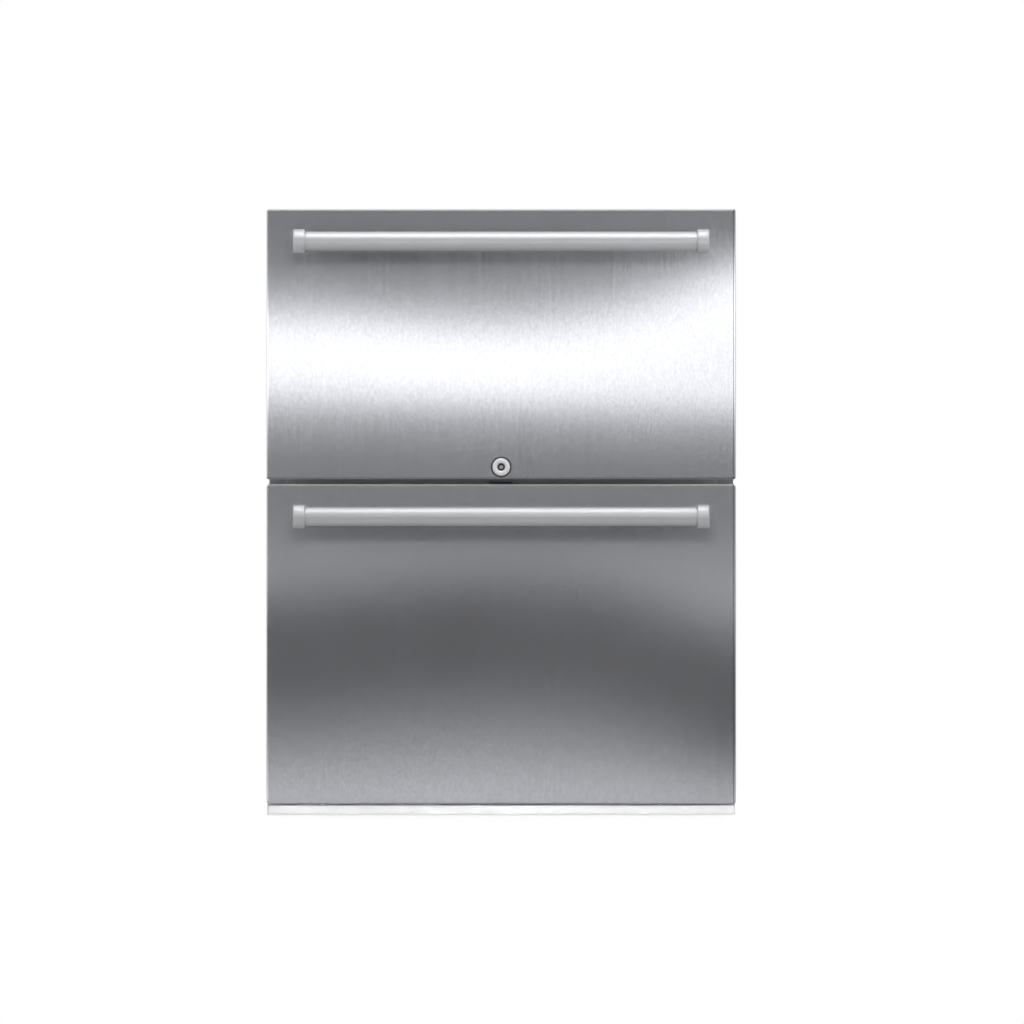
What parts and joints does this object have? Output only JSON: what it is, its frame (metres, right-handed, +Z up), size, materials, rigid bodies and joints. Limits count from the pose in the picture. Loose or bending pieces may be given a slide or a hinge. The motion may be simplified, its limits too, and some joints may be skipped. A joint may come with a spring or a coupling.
{
  "type": "undercounter drawer refrigerator",
  "caption": "Undercounter refrigerator with stainless pull-out drawers on telescopic slides, tubular bar handles, a cam lock and a rear compressor compartment.",
  "frame": {"origin": "on the floor, in the middle of the whole object's box", "axes": "+Z up, -Y out of the drawer fronts, +X to the right seen from the front"},
  "size_m": [0.606, 0.673, 0.7825],
  "materials": {
    "front_steel": "satin, fine vertical grain",
    "handle_steel": "satin",
    "lock_chrome": "polished",
    "zinc_plate": "satin",
    "galvanised_sheet": "matte",
    "cabinet_paint": "satin",
    "plinth_paint": "satin",
    "liner_plastic": "satin",
    "bin_plastic": "satin",
    "gasket_rubber": "matte",
    "insulating_foam": "matte",
    "black_plastic": "matte",
    "black_paint": "satin",
    "motor_steel": "satin",
    "copper_tube": "satin",
    "fin_aluminium": "satin"
  },
  "bodies": {
    "cabinet": {"outer_wrapper": "cabinet_paint", "back_panel": "galvanised_sheet", "base_tray": "galvanised_sheet", "machine_bulkhead": "galvanised_sheet", "inner_liner": "liner_plastic", "insulation_foam": "insulating_foam", "centre_rail": "cabinet_paint", "lock_strike": "zinc_plate", "plinth": "plinth_paint", "evaporator_cover": "liner_plastic", "evaporator_coil": "fin_aluminium", "evaporator_fan_motor": "black_plastic", "control_console": "liner_plastic", "compressor": "black_paint", "drip_tray": "black_plastic", "condenser_coil": "fin_aluminium", "condenser_fan_shroud": "black_plastic", "condenser_fan_motor": "motor_steel", "rear_cover": "cabinet_paint", "cord_inlet": "black_plastic", "discharge_line": "copper_tube", "suction_line": "copper_tube", "filter_drier": "copper_tube", "upper_slide_cabinet_left": "zinc_plate", "upper_slide_cabinet_right": "zinc_plate", "lower_slide_cabinet_left": "zinc_plate", "lower_slide_cabinet_right": "zinc_plate"},
    "upper_drawer": {"upper_front_skin": "front_steel", "upper_front_core": "insulating_foam", "upper_inner_panel": "liner_plastic", "upper_gasket": "gasket_rubber", "upper_bin": "bin_plastic", "upper_handle_bar": "handle_steel", "upper_handle_post_left": "handle_steel", "upper_handle_post_right": "handle_steel", "upper_slide_drawer_left": "zinc_plate", "upper_slide_drawer_right": "zinc_plate", "lock_barrel": "lock_chrome"},
    "upper_middle": {"upper_slide_middle_left": "zinc_plate", "upper_slide_middle_right": "zinc_plate"},
    "lower_drawer": {"lower_front_skin": "front_steel", "lower_front_core": "insulating_foam", "lower_inner_panel": "liner_plastic", "lower_gasket": "gasket_rubber", "lower_bin": "bin_plastic", "lower_handle_bar": "handle_steel", "lower_handle_post_left": "handle_steel", "lower_handle_post_right": "handle_steel", "lower_slide_drawer_left": "zinc_plate", "lower_slide_drawer_right": "zinc_plate"},
    "lower_middle": {"lower_slide_middle_left": "zinc_plate", "lower_slide_middle_right": "zinc_plate"},
    "lock": {"lock_plug": "lock_chrome", "lock_cam": "zinc_plate"},
    "evaporator_rotor": {"evaporator_fan": "black_plastic"},
    "condenser_rotor": {"condenser_fan": "black_plastic"},
    "foot_front_left": {"levelling_foot_front_left": "black_plastic"},
    "foot_front_right": {"levelling_foot_front_right": "black_plastic"},
    "foot_rear_left": {"levelling_foot_rear_left": "black_plastic"},
    "foot_rear_right": {"levelling_foot_rear_right": "black_plastic"}
  },
  "joints": [
    {"name": "upper_drawer_slide", "type": "slide", "parent": "cabinet", "child": "upper_drawer", "axis": [0, -1, 0], "range_m": [0, 0.44]},
    {"name": "upper_middle_slide", "type": "slide", "parent": "cabinet", "child": "upper_middle", "axis": [0, -1, 0], "range_m": [0, 0.22]},
    {"name": "lower_drawer_slide", "type": "slide", "parent": "cabinet", "child": "lower_drawer", "axis": [0, -1, 0], "range_m": [0, 0.44]},
    {"name": "lower_middle_slide", "type": "slide", "parent": "cabinet", "child": "lower_middle", "axis": [0, -1, 0], "range_m": [0, 0.22]},
    {"name": "lock_turn", "type": "hinge", "parent": "upper_drawer", "child": "lock", "pos_m": [0, -0.2735, 0.4495], "axis": [0, 1, 0], "range_deg": [0, 90]},
    {"name": "evaporator_fan_spin", "type": "hinge", "parent": "cabinet", "child": "evaporator_rotor", "pos_m": [0, 0.2685, 0.6235], "axis": [0, 1, 0], "continuous": true},
    {"name": "condenser_fan_spin", "type": "hinge", "parent": "cabinet", "child": "condenser_rotor", "pos_m": [0.2213, 0.2389, 0.1348], "axis": [1, 0, 0], "continuous": true},
    {"name": "foot_front_left_turn", "type": "hinge", "parent": "cabinet", "child": "foot_front_left", "pos_m": [-0.248, -0.1615, 0], "axis": [0, 0, 1], "continuous": true},
    {"name": "foot_front_right_turn", "type": "hinge", "parent": "cabinet", "child": "foot_front_right", "pos_m": [0.248, -0.1615, 0], "axis": [0, 0, 1], "continuous": true},
    {"name": "foot_rear_left_turn", "type": "hinge", "parent": "cabinet", "child": "foot_rear_left", "pos_m": [-0.248, 0.2845, 0], "axis": [0, 0, 1], "continuous": true},
    {"name": "foot_rear_right_turn", "type": "hinge", "parent": "cabinet", "child": "foot_rear_right", "pos_m": [0.248, 0.2845, 0], "axis": [0, 0, 1], "continuous": true}
  ],
  "couplings": [
    {"joint": "upper_middle_slide", "follows": "upper_drawer_slide", "ratio": 0.5},
    {"joint": "lower_middle_slide", "follows": "lower_drawer_slide", "ratio": 0.5}
  ]
}
